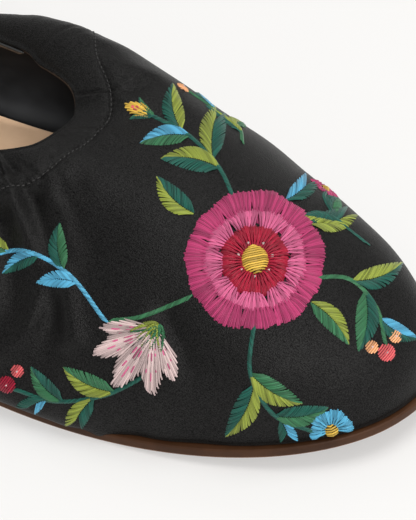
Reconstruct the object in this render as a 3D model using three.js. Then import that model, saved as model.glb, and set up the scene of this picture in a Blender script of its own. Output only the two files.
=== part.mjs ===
// A right-foot ballet flat: soft satin upper, footbed, thin leather outsole and low heel.
// Millimetres. The toe points along +X, the little-toe side is -Y and the floor is Z = 0.
import * as THREE from 'three';
import { mergeVertices } from 'three/addons/utils/BufferGeometryUtils.js';

// Driving sizes
const SOLE_THICKNESS = 2.4;
const SOLE_RIM = 1.2; // outsole that shows outside the upper
const TOE_SPRING = 6.5;
const TOE_SPRING_START = 178;
const TOE_SPRING_END = 247;
const HEEL_HEIGHT = 6;
const WAIST_FRONT = 132; // the sole leaves the floor here
const WAIST_BACK = 58; // and reaches heel height here
const WALL = 1.6;
const GAP = 0.3; // between pieces that rest on each other
const CASING_WIDTH = 8.2; // gathered band along the collar
const CASING_STEP = 0.7;
const MARGIN_WIDTH = 9; // upper turned in under the footbed
const MARGIN_THICKNESS = 1.2;
const FOOTBED_THICKNESS = 1.6;
const FOOTBED_CLEARANCE = 0.5; // beside the upper's wall and margin
const HEEL_BREAST = 55;
const HEEL_INSET = 1;

// Mesh density
const SAMPLES = 110; // sections around the shoe, five for each station
const OUTER_ROWS = 11;
const CASING_ROWS = 3;
const INNER_ROWS = 10;

// Stations around the shoe, from the toe along the outer side to the heel and back.
// edge: control points of the outsole's outline. collar: control points of the opening.
// vamp: 1 where the upper closes over the toes, 0 where it stands as a side.
// bulge: how far the cloth swells over the sole. puff: how far it stands above the collar.
const STATIONS = table(
  ['name', 'edgeX', 'edgeY', 'collarX', 'collarY', 'collarZ', 'vamp', 'bulge', 'puff'],
  [
    ['toe', 248.5, 11, 157.8, 3, 45, 1, 0, 3.5],
    ['toe corner, outer', 248, -6, 157.2, -4, 45.5, 1, 0, 3],
    ['toe side, outer', 233, -23, 156.5, -9.5, 46, 1, 0, 1.5],
    ['forepart, outer', 208.5, -35, 154, -12.5, 46, 0.7, 0, -0.5],
    ['joint, outer', 180, -41.5, 147.5, -16.5, 44.5, 0.45, 2, -1.5],
    ['ball, outer', 150, -43, 131, -22, 42, 0.35, 6.5, -1],
    ['waist, outer', 118, -37.5, 106.5, -26, 39.5, 0.2, 7, 0],
    ['shank, outer', 84, -31.5, 82, -28, 40, 0, 4, 0],
    ['quarter, outer', 48, -29, 52, -27, 44, 0, 1.5, 0],
    ['heel side, outer', 16, -24.5, 25, -22, 52, 0, 1, 0],
    ['heel corner, outer', -1, -12, 8, -10, 57, 0, 1, 0],
    ['heel', -1.5, 1, 5, 0.5, 58, 0, 1, 0],
    ['heel corner, inner', -1, 13, 8, 11, 57, 0, 1, 0],
    ['heel side, inner', 16, 25, 25, 22, 52, 0, 1, 0],
    ['quarter, inner', 48, 29, 52, 26, 44, 0, 1, 0],
    ['shank, inner', 84, 29.5, 83, 23, 39, 0.1, 3.5, 1.5],
    ['waist, inner', 118, 35.5, 113, 19.5, 39.5, 0.55, 5.5, 5],
    ['ball, inner', 149.5, 42.5, 133.5, 16.3, 45, 1, 6.5, 10.5],
    ['joint, inner', 178, 44, 148, 12.3, 47.5, 1, 3, 7.5],
    ['forepart, inner', 207, 39.5, 152.3, 10.3, 48, 1, 0.5, 3],
    ['toe side, inner', 233, 30.5, 154.8, 8.5, 47, 1, 0, 1.5],
    ['toe corner, inner', 246, 20.5, 156.6, 6.2, 45.5, 1, 0, 2.5],
  ],
);

// Rows of the upper's section, from the sole's edge (inset 0, rise 0) to the collar (1, 1)
const ROWS = table(
  ['vampInset', 'vampRise', 'sideInset', 'sideRise', 'bulge', 'puff'],
  [
    [0, 0, 0, 0, 0, 0],
    [0, 0.07, 0, 0.07, 0.9, 0],
    [0.02, 0.32, 0.08, 0.3, 1, 0],
    [0.14, 0.56, 0.3, 0.55, 0.7, 0.15],
    [0.42, 0.78, 0.55, 0.75, 0.35, 0.7],
    [0.8, 1.08, 0.82, 0.9, 0.1, 1],
    [1, 1, 1, 1, 0, 0],
  ],
);
const ROW_KNOTS = [0, 0, 0, 0, 0.25, 0.5, 0.75, 1, 1, 1, 1];

function table(columns, rows) {
  return rows.map((row) => Object.fromEntries(columns.map((column, i) => [column, row[i]])));
}

function smoothstep(t) {
  const s = THREE.MathUtils.clamp(t, 0, 1);
  return s * s * (3 - 2 * s);
}

// Height of the outsole's underside: flat forepart, raised waist and seat, sprung toe
function undersideZ(x) {
  const toe = THREE.MathUtils.clamp((x - TOE_SPRING_START) / (TOE_SPRING_END - TOE_SPRING_START), 0, 1);
  const waist = smoothstep((WAIST_FRONT - x) / (WAIST_FRONT - WAIST_BACK));
  return TOE_SPRING * toe * toe + HEEL_HEIGHT * waist;
}

// Value of a station column at u, 0 to 1 around the shoe, as a closed cubic B-spline
function around(column, u) {
  const place = THREE.MathUtils.euclideanModulo(u, 1) * STATIONS.length;
  const station = Math.floor(place);
  const t = place - station;
  const weights = [(1 - t) ** 3, 3 * t ** 3 - 6 * t ** 2 + 4, -3 * t ** 3 + 3 * t ** 2 + 3 * t + 1, t ** 3];
  let sum = 0;
  for (let i = 0; i < 4; i += 1) {
    const index = (station + i - 1 + STATIONS.length) % STATIONS.length;
    sum += (weights[i] / 6) * STATIONS[index][column];
  }
  return sum;
}

// Weight of each section row at v, 0 at the sole and 1 at the collar
function rowWeights(v) {
  const at = Math.min(v, 1 - 1e-9);
  let weights = ROW_KNOTS.slice(1).map((knot, i) => (at >= ROW_KNOTS[i] && at < knot ? 1 : 0));
  for (let degree = 1; degree <= 3; degree += 1) {
    weights = weights.slice(1).map((next, i) => {
      const rising = ROW_KNOTS[i + degree] - ROW_KNOTS[i];
      const falling = ROW_KNOTS[i + degree + 1] - ROW_KNOTS[i + 1];
      const left = rising > 0 ? ((at - ROW_KNOTS[i]) / rising) * weights[i] : 0;
      const right = falling > 0 ? ((ROW_KNOTS[i + degree + 1] - at) / falling) * next : 0;
      return left + right;
    });
  }
  return weights;
}

// Outward direction of the outsole's outline, level with the floor
function outwards(u) {
  const h = 1e-4;
  const dx = around('edgeX', u + h) - around('edgeX', u - h);
  const dy = around('edgeY', u + h) - around('edgeY', u - h);
  return new THREE.Vector3(-dy, dx, 0).normalize();
}

// A point inset from the outline, at a height above the outsole's underside
function besideEdge(u, inset, height) {
  const point = new THREE.Vector3(around('edgeX', u), around('edgeY', u), 0);
  point.addScaledVector(outwards(u), -inset);
  point.z = undersideZ(point.x) + height;
  return point;
}

// The upper's outer surface
function upperPoint(u, v) {
  const out = outwards(u);
  const foot = besideEdge(u, SOLE_RIM, SOLE_THICKNESS + GAP);
  const collar = new THREE.Vector3(around('collarX', u), around('collarY', u), around('collarZ', u));
  const vamp = around('vamp', u);
  const bulge = around('bulge', u);
  const puff = around('puff', u);
  const weights = rowWeights(v);
  const point = new THREE.Vector3();
  ROWS.forEach((row, k) => {
    const inset = THREE.MathUtils.lerp(row.sideInset, row.vampInset, vamp);
    const rise = THREE.MathUtils.lerp(row.sideRise, row.vampRise, vamp);
    const control = foot.clone().lerp(collar, inset).addScaledVector(out, bulge * row.bulge);
    control.z = THREE.MathUtils.lerp(foot.z, collar.z, rise) + puff * row.puff;
    point.addScaledVector(control, weights[k]);
  });
  return point;
}

// A point off the upper's outer surface, outwards if the distance is positive
function offUpper(u, v, distance) {
  const h = 1e-3;
  const low = Math.max(v - h, 0);
  const high = Math.min(v + h, 1);
  const along = upperPoint(u + h, v).sub(upperPoint(u - h, v));
  const up = upperPoint(u, high).sub(upperPoint(u, low));
  const normal = up.cross(along).normalize();
  return upperPoint(u, v).addScaledVector(normal, distance);
}

// The v at which the casing starts, measured down the surface from the collar
function casingStart(u) {
  const steps = 80;
  let length = 0;
  let last = upperPoint(u, 1);
  for (let i = 1; i < steps; i += 1) {
    const point = upperPoint(u, 1 - i / steps);
    const stride = point.distanceTo(last);
    if (length + stride > CASING_WIDTH) return 1 - (i - 1 + (CASING_WIDTH - length) / stride) / steps;
    length += stride;
    last = point;
  }
  return 0;
}

// One closed section of the upper: margin, outer face, casing, rolled collar, inner face
function upperSection(u) {
  const under = SOLE_THICKNESS + GAP;
  const inside = under + MARGIN_THICKNESS;
  const corner = 0.5;
  const section = [
    besideEdge(u, SOLE_RIM + MARGIN_WIDTH, under),
    besideEdge(u, SOLE_RIM + corner, under),
    besideEdge(u, SOLE_RIM, under + corner),
  ];
  const start = casingStart(u);
  for (let i = 1; i <= OUTER_ROWS; i += 1) section.push(upperPoint(u, (start * i) / OUTER_ROWS));
  const stepLength = 0.1; // share of the casing over which it rises
  for (let i = 0; i <= CASING_ROWS; i += 1) {
    const share = stepLength + ((1 - stepLength) * i) / CASING_ROWS;
    section.push(offUpper(u, start + (1 - start) * share, CASING_STEP));
  }
  section.push(offUpper(u, 1, -WALL));
  for (let i = INNER_ROWS - 1; i >= 1; i -= 1) section.push(offUpper(u, i / INNER_ROWS, -WALL));
  section.push(besideEdge(u, SOLE_RIM + WALL, inside));
  section.push(besideEdge(u, SOLE_RIM + MARGIN_WIDTH, inside));
  return section;
}

// A closed mesh from points and triangles, turned so that its faces point out
function closedGeometry(points, triangles) {
  const a = new THREE.Vector3();
  let volume = 0;
  for (const [i, j, k] of triangles) volume += points[i].dot(a.crossVectors(points[j], points[k]));
  const facing = volume > 0 ? triangles : triangles.map(([i, j, k]) => [i, k, j]);
  const geometry = new THREE.BufferGeometry().setFromPoints(points);
  geometry.setIndex(facing.flat());
  geometry.computeVertexNormals();
  return geometry;
}

// Closed sections joined in a ring
function ringOfSections(sections) {
  const size = sections[0].length;
  const triangles = [];
  sections.forEach((section, i) => {
    const here = i * size;
    const next = ((i + 1) % sections.length) * size;
    section.forEach((point, j) => {
      const k = (j + 1) % size;
      triangles.push([here + j, next + j, next + k], [here + j, next + k, here + k]);
    });
  });
  return closedGeometry(sections.flat(), triangles);
}

// Outline loops joined from underside to top. Straps across from side to side close both ends.
function plateOfLoops(loops) {
  const points = loops.flatMap(([inset, height]) =>
    Array.from({ length: SAMPLES }, (unused, i) => besideEdge(i / SAMPLES, inset, height)),
  );
  const triangles = [];
  for (let loop = 0; loop < loops.length - 1; loop += 1) {
    for (let i = 0; i < SAMPLES; i += 1) {
      const here = loop * SAMPLES + i;
      const next = loop * SAMPLES + ((i + 1) % SAMPLES);
      triangles.push([here, here + SAMPLES, next + SAMPLES], [here, next + SAMPLES, next]);
    }
  }
  const top = (loops.length - 1) * SAMPLES;
  for (let i = 0; i < SAMPLES / 2; i += 1) {
    const across = (SAMPLES - i) % SAMPLES;
    const acrossNext = SAMPLES - i - 1;
    if (across !== i) {
      triangles.push([i, i + 1, across], [top + i, top + across, top + i + 1]);
    }
    if (acrossNext !== i + 1) {
      triangles.push([i + 1, acrossNext, across], [top + i + 1, top + across, top + acrossNext]);
    }
  }
  return closedGeometry(points, triangles);
}

function makeUpper() {
  const sections = [];
  for (let i = 0; i < SAMPLES; i += 1) sections.push(upperSection(i / SAMPLES));
  return ringOfSections(sections);
}

function makeOutsole() {
  const arris = 0.6;
  const topArris = 0.3;
  return plateOfLoops([
    [arris, 0],
    [0, arris],
    [0, SOLE_THICKNESS - topArris],
    [topArris, SOLE_THICKNESS],
  ]);
}

// The footbed lies on the turned-in margin and its middle fills the space between the margins
function makeFootbed() {
  const low = SOLE_THICKNESS + GAP;
  const shelf = low + MARGIN_THICKNESS + GAP;
  const top = shelf + FOOTBED_THICKNESS;
  const edge = SOLE_RIM + WALL + FOOTBED_CLEARANCE;
  const middle = SOLE_RIM + MARGIN_WIDTH + FOOTBED_CLEARANCE;
  const arris = 0.4;
  return plateOfLoops([
    [middle, low],
    [middle, shelf],
    [edge, shelf],
    [edge, top - arris],
    [edge + arris, top],
  ]);
}

// The heel is the outline's back end, cut straight across and bevelled
function makeHeel() {
  const bevel = 0.5;
  const outline = [];
  for (let i = 0; i < SAMPLES; i += 1) {
    const point = besideEdge(i / SAMPLES, HEEL_INSET + bevel, 0);
    if (point.x < HEEL_BREAST) outline.push(new THREE.Vector2(point.x, point.y));
  }
  const first = outline[0];
  const last = outline[outline.length - 1];
  outline.push(new THREE.Vector2(HEEL_BREAST, last.y), new THREE.Vector2(HEEL_BREAST, first.y));
  const geometry = new THREE.ExtrudeGeometry(new THREE.Shape(outline), {
    depth: HEEL_HEIGHT - GAP - 2 * bevel,
    steps: 1,
    bevelEnabled: true,
    bevelThickness: bevel,
    bevelSize: bevel,
    bevelSegments: 1,
  });
  geometry.translate(0, 0, bevel);
  geometry.deleteAttribute('normal');
  geometry.deleteAttribute('uv');
  return mergeVertices(geometry, 1e-3);
}

function piece(name, geometry, color, roughness) {
  const material = new THREE.MeshStandardMaterial({ color, roughness, metalness: 0 });
  const mesh = new THREE.Mesh(geometry, material);
  mesh.name = name;
  return mesh;
}

const shoe = new THREE.Group();
shoe.add(
  piece('upper', makeUpper(), 0x151413, 0.62),
  piece('footbed', makeFootbed(), 0xb09378, 0.6),
  piece('outsole', makeOutsole(), 0x5e3f2a, 0.5),
  piece('heel', makeHeel(), 0x4a3122, 0.55),
);

// The origin is the middle of the shoe's box, on the floor
const box = new THREE.Box3().setFromObject(shoe, true);
const middle = box.getCenter(new THREE.Vector3());
shoe.position.set(-middle.x, -middle.y, -box.min.z);

export default shoe;
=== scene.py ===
# Looks of a right-foot ballet flat in embroidered black satin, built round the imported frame.
# Shapes are worked out in millimetres in the shoe's own coordinates: toe along +X, inner side +Y,
# floor at Z = 0. They are the same functions as in part.mjs, then moved into the frame in metres.
import math
import random

import bmesh
import bpy
import numpy as np
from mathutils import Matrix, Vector, noise
from mathutils.bvhtree import BVHTree


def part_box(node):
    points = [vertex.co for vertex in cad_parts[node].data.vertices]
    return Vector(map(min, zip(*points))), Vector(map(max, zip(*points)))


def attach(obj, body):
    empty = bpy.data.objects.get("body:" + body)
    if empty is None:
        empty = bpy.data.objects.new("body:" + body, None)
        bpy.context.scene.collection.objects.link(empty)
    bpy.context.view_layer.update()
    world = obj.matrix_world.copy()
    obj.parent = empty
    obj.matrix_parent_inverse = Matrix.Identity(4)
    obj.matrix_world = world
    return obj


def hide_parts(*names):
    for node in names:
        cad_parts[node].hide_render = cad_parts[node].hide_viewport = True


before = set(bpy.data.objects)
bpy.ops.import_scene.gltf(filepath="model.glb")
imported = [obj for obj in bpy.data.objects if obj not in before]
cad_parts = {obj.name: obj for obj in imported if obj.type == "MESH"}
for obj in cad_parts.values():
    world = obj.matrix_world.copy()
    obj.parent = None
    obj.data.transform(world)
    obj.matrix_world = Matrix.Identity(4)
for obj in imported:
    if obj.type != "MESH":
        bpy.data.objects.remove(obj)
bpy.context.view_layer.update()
random.seed(7)

# Driving sizes, as in part.mjs, in millimetres
SOLE_THICKNESS = 2.4
SOLE_RIM = 1.2
TOE_SPRING = 6.5
TOE_SPRING_START = 178
TOE_SPRING_END = 247
HEEL_HEIGHT = 6
WAIST_FRONT = 132
WAIST_BACK = 58
WALL = 1.6
GAP = 0.3
CASING_WIDTH = 8.2
CASING_STEP = 0.7
MARGIN_WIDTH = 9
MARGIN_THICKNESS = 1.2
FOOTBED_THICKNESS = 1.6
FOOTBED_CLEARANCE = 0.5
MM = 0.001

# Stations around the shoe, from the toe along the outer side to the heel and back.
# Columns: edge x, edge y, collar x, collar y, collar z, vamp, bulge, puff
STATIONS = np.array([
    [248.5, 11, 157.8, 3, 45, 1, 0, 3.5],
    [248, -6, 157.2, -4, 45.5, 1, 0, 3],
    [233, -23, 156.5, -9.5, 46, 1, 0, 1.5],
    [208.5, -35, 154, -12.5, 46, 0.7, 0, -0.5],
    [180, -41.5, 147.5, -16.5, 44.5, 0.45, 2, -1.5],
    [150, -43, 131, -22, 42, 0.35, 6.5, -1],
    [118, -37.5, 106.5, -26, 39.5, 0.2, 7, 0],
    [84, -31.5, 82, -28, 40, 0, 4, 0],
    [48, -29, 52, -27, 44, 0, 1.5, 0],
    [16, -24.5, 25, -22, 52, 0, 1, 0],
    [-1, -12, 8, -10, 57, 0, 1, 0],
    [-1.5, 1, 5, 0.5, 58, 0, 1, 0],
    [-1, 13, 8, 11, 57, 0, 1, 0],
    [16, 25, 25, 22, 52, 0, 1, 0],
    [48, 29, 52, 26, 44, 0, 1, 0],
    [84, 29.5, 83, 23, 39, 0.1, 3.5, 1.5],
    [118, 35.5, 113, 19.5, 39.5, 0.55, 5.5, 5],
    [149.5, 42.5, 133.5, 16.3, 45, 1, 6.5, 10.5],
    [178, 44, 148, 12.3, 47.5, 1, 3, 7.5],
    [207, 39.5, 152.3, 10.3, 48, 1, 0.5, 3],
    [233, 30.5, 154.8, 8.5, 47, 1, 0, 1.5],
    [246, 20.5, 156.6, 6.2, 45.5, 1, 0, 2.5],
], float)
EDGE_X, EDGE_Y, COLLAR_X, COLLAR_Y, COLLAR_Z, VAMP, BULGE, PUFF = range(8)

# Rows of the upper's section, from the sole's edge to the collar.
# Columns: vamp inset, vamp rise, side inset, side rise, bulge, puff
ROWS = np.array([
    [0, 0, 0, 0, 0, 0],
    [0, 0.07, 0, 0.07, 0.9, 0],
    [0.02, 0.32, 0.08, 0.3, 1, 0],
    [0.14, 0.56, 0.3, 0.55, 0.7, 0.15],
    [0.42, 0.78, 0.55, 0.75, 0.35, 0.7],
    [0.8, 1.08, 0.82, 0.9, 0.1, 1],
    [1, 1, 1, 1, 0, 0],
], float)
ROW_KNOTS = [0, 0, 0, 0, 0.25, 0.5, 0.75, 1, 1, 1, 1]


# Surface functions

def smooth(t):
    t = np.clip(t, 0, 1)
    return t * t * (3 - 2 * t)


def rising(distance, least, start, reach):
    """From the least share up to 1, over the reach that begins at the start."""
    return least + (1 - least) * smooth((distance - start) / reach)


def falling(distance, least, start, reach):
    """From 1 down to the least share, over the reach that begins at the start."""
    return 1 - (1 - least) * smooth((distance - start) / reach)


def bell(distance, reach):
    return np.exp(-(distance / reach) ** 2)


def unit(vectors):
    return vectors / np.maximum(np.linalg.norm(vectors, axis=-1, keepdims=True), 1e-9)


def run_along(points):
    """Length along a line of points, from the first of them."""
    return np.concatenate([[0], np.cumsum(np.linalg.norm(np.diff(points, axis=0), axis=1))])


def sample(at, run, values):
    """A line's values at the given lengths along it."""
    return np.stack([np.interp(at, run, column) for column in values.T], -1)


def underside_z(x):
    toe = np.clip((x - TOE_SPRING_START) / (TOE_SPRING_END - TOE_SPRING_START), 0, 1)
    waist = smooth((WAIST_FRONT - x) / (WAIST_FRONT - WAIST_BACK))
    return TOE_SPRING * toe ** 2 + HEEL_HEIGHT * waist


def around(column, u):
    place = (np.asarray(u, float) % 1) * len(STATIONS)
    station = np.floor(place).astype(int)
    t = place - station
    weights = ((1 - t) ** 3, 3 * t ** 3 - 6 * t ** 2 + 4, -3 * t ** 3 + 3 * t ** 2 + 3 * t + 1, t ** 3)
    values = STATIONS[:, column]
    return sum(w / 6 * values[(station + i - 1) % len(STATIONS)] for i, w in enumerate(weights))


def row_weights(v):
    at = np.minimum(np.asarray(v, float), 1 - 1e-9)
    weights = [((at >= a) & (at < b)).astype(float) for a, b in zip(ROW_KNOTS, ROW_KNOTS[1:])]
    for degree in (1, 2, 3):
        raised = []
        for i in range(len(weights) - 1):
            rising = ROW_KNOTS[i + degree] - ROW_KNOTS[i]
            falling = ROW_KNOTS[i + degree + 1] - ROW_KNOTS[i + 1]
            left = (at - ROW_KNOTS[i]) / rising * weights[i] if rising else 0 * at
            right = (ROW_KNOTS[i + degree + 1] - at) / falling * weights[i + 1] if falling else 0 * at
            raised.append(left + right)
        weights = raised
    return weights


def outwards(u):
    h = 1e-4
    dx = around(EDGE_X, u + h) - around(EDGE_X, u - h)
    dy = around(EDGE_Y, u + h) - around(EDGE_Y, u - h)
    length = np.hypot(dx, dy)
    return np.stack([-dy / length, dx / length], -1)


def beside_edge(u, inset, height):
    out = outwards(u)
    x = around(EDGE_X, u) - inset * out[..., 0]
    y = around(EDGE_Y, u) - inset * out[..., 1]
    return np.stack([x, y, underside_z(x) + height], -1)


def upper_points(u, v):
    u, v = np.broadcast_arrays(np.asarray(u, float), np.asarray(v, float))
    out = np.concatenate([outwards(u), np.zeros(u.shape + (1,))], -1)
    foot = beside_edge(u, SOLE_RIM, SOLE_THICKNESS + GAP)
    collar = np.stack([around(c, u) for c in (COLLAR_X, COLLAR_Y, COLLAR_Z)], -1)
    vamp = around(VAMP, u)
    bulge = around(BULGE, u)[..., None]
    puff = around(PUFF, u)
    points = np.zeros(u.shape + (3,))
    for row, weight in zip(ROWS, row_weights(v)):
        vamp_inset, vamp_rise, side_inset, side_rise, bulge_share, puff_share = row
        inset = (vamp_inset * vamp + side_inset * (1 - vamp))[..., None]
        rise = vamp_rise * vamp + side_rise * (1 - vamp)
        control = foot + (collar - foot) * inset + out * bulge * bulge_share
        control[..., 2] = foot[..., 2] + (collar[..., 2] - foot[..., 2]) * rise + puff * puff_share
        points += weight[..., None] * control
    return points


# The shift from the shoe's own coordinates to the frame, from the outsole that both have
OUTSOLE_SECTIONS = 110  # as in part.mjs
outline = beside_edge(np.arange(OUTSOLE_SECTIONS) / OUTSOLE_SECTIONS, 0, 0)
sole_low, sole_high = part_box("outsole")
FRAME_SHIFT = np.array([
    (sole_low.x + sole_high.x) / 2 / MM - (outline[:, 0].min() + outline[:, 0].max()) / 2,
    (sole_low.y + sole_high.y) / 2 / MM - (outline[:, 1].min() + outline[:, 1].max()) / 2,
    0,
])


def to_frame(points):
    return (np.asarray(points, float) + FRAME_SHIFT) * MM


# Camera: a long lens at the photograph's angle, framed on the toe
CAMERA_TURN = math.radians(34.23)
CAMERA_TILT = math.radians(42.24)
CAMERA_DISTANCE = 0.9
CAMERA_AIM = (195.9, -1.1, 26.8)
CAMERA_BACK = (
    math.sin(CAMERA_TURN) * math.cos(CAMERA_TILT),
    -math.cos(CAMERA_TURN) * math.cos(CAMERA_TILT),
    math.sin(CAMERA_TILT),
)  # from the aim to the camera
VIEW_HEIGHT = 113.2  # millimetres of the shoe from the frame's top to its bottom


def make_camera():
    data = bpy.data.cameras.new("camera")
    camera = bpy.data.objects.new("camera", data)
    bpy.context.scene.collection.objects.link(camera)
    back = Vector(CAMERA_BACK)
    camera.location = Vector(to_frame(CAMERA_AIM)) + back * CAMERA_DISTANCE
    camera.rotation_euler = back.to_track_quat("Z", "Y").to_euler()
    data.sensor_fit = "VERTICAL"
    data.sensor_height = 36
    data.lens = data.sensor_height * CAMERA_DISTANCE / (VIEW_HEIGHT * MM)
    data.clip_start = 0.05
    data.clip_end = 20
    bpy.context.scene.camera = camera


make_camera()


# Mesh helpers

def new_object(name, points, faces, *materials):
    mesh = bpy.data.meshes.new(name)
    mesh.from_pydata(to_frame(points).tolist(), [], [tuple(f) for f in faces])
    mesh.update()
    mesh.polygons.foreach_set("use_smooth", [True] * len(mesh.polygons))
    obj = bpy.data.objects.new(name, mesh)
    bpy.context.scene.collection.objects.link(obj)
    for material in materials:
        mesh.materials.append(material)
    return obj


def grid_faces(rows, columns, close_rows=False, close_columns=True):
    """Quads of a grid of points stored row after row."""
    r = np.arange(rows if close_rows else rows - 1)
    c = np.arange(columns if close_columns else columns - 1)
    r, c = np.meshgrid(r, c, indexing="ij")
    r2 = (r + 1) % rows
    c2 = (c + 1) % columns
    corners = [r * columns + c, r * columns + c2, r2 * columns + c2, r2 * columns + c]
    return np.stack(corners, -1).reshape(-1, 4)


def second_material(obj, chosen):
    """Gives the object's second material to a slice of its faces."""
    index = np.zeros(len(obj.data.polygons), int)
    index[chosen] = 1
    obj.data.polygons.foreach_set("material_index", index.tolist())


def face_up(obj):
    """Turns the faces of a closed mesh outwards."""
    mesh = bmesh.new()
    mesh.from_mesh(obj.data)
    bmesh.ops.recalc_face_normals(mesh, faces=mesh.faces)
    mesh.to_mesh(obj.data)
    mesh.free()


# Materials

def set_inputs(node, **values):
    """Sets sockets by their names, with _ for each space."""
    for key, value in values.items():
        node.inputs[key.replace("_", " ")].default_value = value


def new_material(name, **values):
    """A material with the settings that are the same all over it."""
    material = bpy.data.materials.new(name)
    material.use_nodes = True
    shader = material.node_tree.nodes["Principled BSDF"]
    set_inputs(shader, **values)
    return material, material.node_tree, shader


def add_node(tree, kind, **settings):
    node = tree.nodes.new(kind)
    for key, value in settings.items():
        if key in node.inputs:
            node.inputs[key].default_value = value
        else:
            setattr(node, key, value)
    return node


def add_texture(tree, kind, **settings):
    """A texture in the object's own coordinates."""
    place = add_node(tree, "ShaderNodeTexCoord").outputs["Object"]
    texture = add_node(tree, kind, **settings)
    tree.links.new(place, texture.inputs["Vector"])
    return texture


def add_range(tree, value, to_min, to_max, from_min=0.0, from_max=1.0):
    """Moves a value from one range to another."""
    node = add_node(tree, "ShaderNodeMapRange")
    set_inputs(node, From_Min=from_min, From_Max=from_max, To_Min=to_min, To_Max=to_max)
    tree.links.new(value, node.inputs["Value"])
    return node.outputs["Result"]


def add_ramp(tree, fac, stops):
    ramp = tree.nodes.new("ShaderNodeValToRGB")
    while len(ramp.color_ramp.elements) < len(stops):
        ramp.color_ramp.elements.new(0.5)
    for element, (position, color) in zip(ramp.color_ramp.elements, stops):
        element.position = position
        element.color = (*color, 1)
    tree.links.new(fac, ramp.inputs["Fac"])
    return ramp.outputs["Color"]


def add_bump(tree, height, strength, distance, before=None):
    bump = add_node(tree, "ShaderNodeBump", Strength=strength, Distance=distance)
    tree.links.new(height, bump.inputs["Height"])
    if before is not None:
        tree.links.new(before, bump.inputs["Normal"])
    return bump.outputs["Normal"]


def satin_material():
    """Black satin: a fine grain in its colour and gloss, and a soft unevenness."""
    material, tree, shader = new_material(
        "satin", Roughness=0.47, Sheen_Weight=0.02, Sheen_Roughness=0.45, Sheen_Tint=(1.0, 0.96, 0.92, 1),
    )
    cloud = add_texture(tree, "ShaderNodeTexNoise", Scale=60.0, Detail=4.0)
    grain = add_texture(tree, "ShaderNodeTexNoise", Scale=3600.0, Detail=3.0, Roughness=0.8)
    weave = add_texture(tree, "ShaderNodeTexNoise", Scale=3600.0, Detail=2.0)
    stops = [(0.4, (0.0004, 0.0004, 0.0004)), (0.6, (0.0068, 0.0065, 0.0063))]
    tree.links.new(add_ramp(tree, grain.outputs["Fac"], stops), shader.inputs["Base Color"])
    gloss = add_range(tree, grain.outputs["Fac"], 0.08, 0.28, 0.36, 0.64)
    tree.links.new(gloss, shader.inputs["Specular IOR Level"])
    soft = add_bump(tree, cloud.outputs["Fac"], 0.12, 0.0012)
    fine = add_bump(tree, weave.outputs["Fac"], 0.7, 0.0002, soft)
    tree.links.new(fine, shader.inputs["Normal"])
    return material


def lining_material():
    material, tree, shader = new_material("lining", Roughness=0.6, Specular_IOR_Level=0.06)
    cloud = add_texture(tree, "ShaderNodeTexNoise", Scale=120.0, Detail=5.0)
    stops = [(0.3, (0.0034, 0.0035, 0.0037)), (0.7, (0.0078, 0.008, 0.0084))]
    tree.links.new(add_ramp(tree, cloud.outputs["Fac"], stops), shader.inputs["Base Color"])
    tree.links.new(add_bump(tree, cloud.outputs["Fac"], 0.3, 0.0006), shader.inputs["Normal"])
    return material


def leather_material(name, dark, light, roughness, grain_scale, bump):
    """Leather with cloudy tones between two colours and a pebbled grain."""
    material, tree, shader = new_material(name, Specular_IOR_Level=0.2)
    cloud = add_texture(tree, "ShaderNodeTexNoise", Scale=70.0, Detail=6.0, Roughness=0.6)
    stops = [(0.32, dark), (0.68, light)]
    tree.links.new(add_ramp(tree, cloud.outputs["Fac"], stops), shader.inputs["Base Color"])
    uneven = add_range(tree, cloud.outputs["Fac"], roughness - 0.08, roughness + 0.1)
    tree.links.new(uneven, shader.inputs["Roughness"])
    cells = add_texture(tree, "ShaderNodeTexVoronoi", Scale=grain_scale, feature="DISTANCE_TO_EDGE")
    tree.links.new(add_bump(tree, cells.outputs["Distance"], bump, 0.0001), shader.inputs["Normal"])
    return material


def thread_material(name, color):
    """Glossy embroidery thread. Each thread's own tone is stored on its mesh."""
    material, tree, shader = new_material(
        "thread_" + name, Roughness=0.42, Specular_IOR_Level=0.25, Sheen_Weight=0.08,
    )
    tone = add_node(tree, "ShaderNodeAttribute", attribute_name="tone")
    shade = add_ramp(tree, tone.outputs["Fac"], [
        (0.0, tuple(c * 0.62 for c in color)),
        (1.0, tuple(min(c * 1.3, 1) for c in color)),
    ])
    tree.links.new(shade, shader.inputs["Base Color"])
    return material


satin = satin_material()
lining = lining_material()
# Columns: name, darker colour, lighter colour, roughness, scale of the grain, strength of the grain
footbed_leather, sole_leather, sole_arris, heel_leather = (
    leather_material(*row) for row in (
        ("footbed_leather", (0.56, 0.37, 0.235), (0.66, 0.45, 0.29), 0.55, 1400, 0.25),
        ("sole_leather", (0.032, 0.012, 0.004), (0.07, 0.028, 0.011), 0.5, 900, 0.3),
        ("sole_arris", (0.12, 0.05, 0.02), (0.2, 0.09, 0.038), 0.45, 900, 0.3),
        ("heel_leather", (0.045, 0.023, 0.013), (0.08, 0.042, 0.024), 0.5, 900, 0.3),
    )
)


# The upper: one closed cloth shell from the sole's edge over the gathered casing and down inside

FRONT_SHARE = 0.36  # of the way round from the toe, where the photograph looks
FRONT_DENSITY = 2.0
SECTIONS = 860
OUTER_STEPS = 58  # rows between the casing's seam and the sole
CASING_STEPS = 15
SEAM_STEPS = 9
SEAM_REACH = (-0.65, 1.6)  # where the seam's closer rows begin and end, from the seam
CASING_ROWS_END = -0.9
ROLL_STEPS = 5
INNER_STEPS = 20
FINE = 221  # rows on which distances along the plain surface are measured


def section_places():
    """Places round the shoe, denser in front than at the back."""
    t = np.linspace(0, 1, 4001)
    density = np.where((t < FRONT_SHARE) | (t > 1 - FRONT_SHARE), FRONT_DENSITY, 1.0)
    total = np.concatenate([[0], np.cumsum((density[1:] + density[:-1]) / 2)])
    return np.interp(np.arange(SECTIONS) / SECTIONS * total[-1], total, t)


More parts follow.
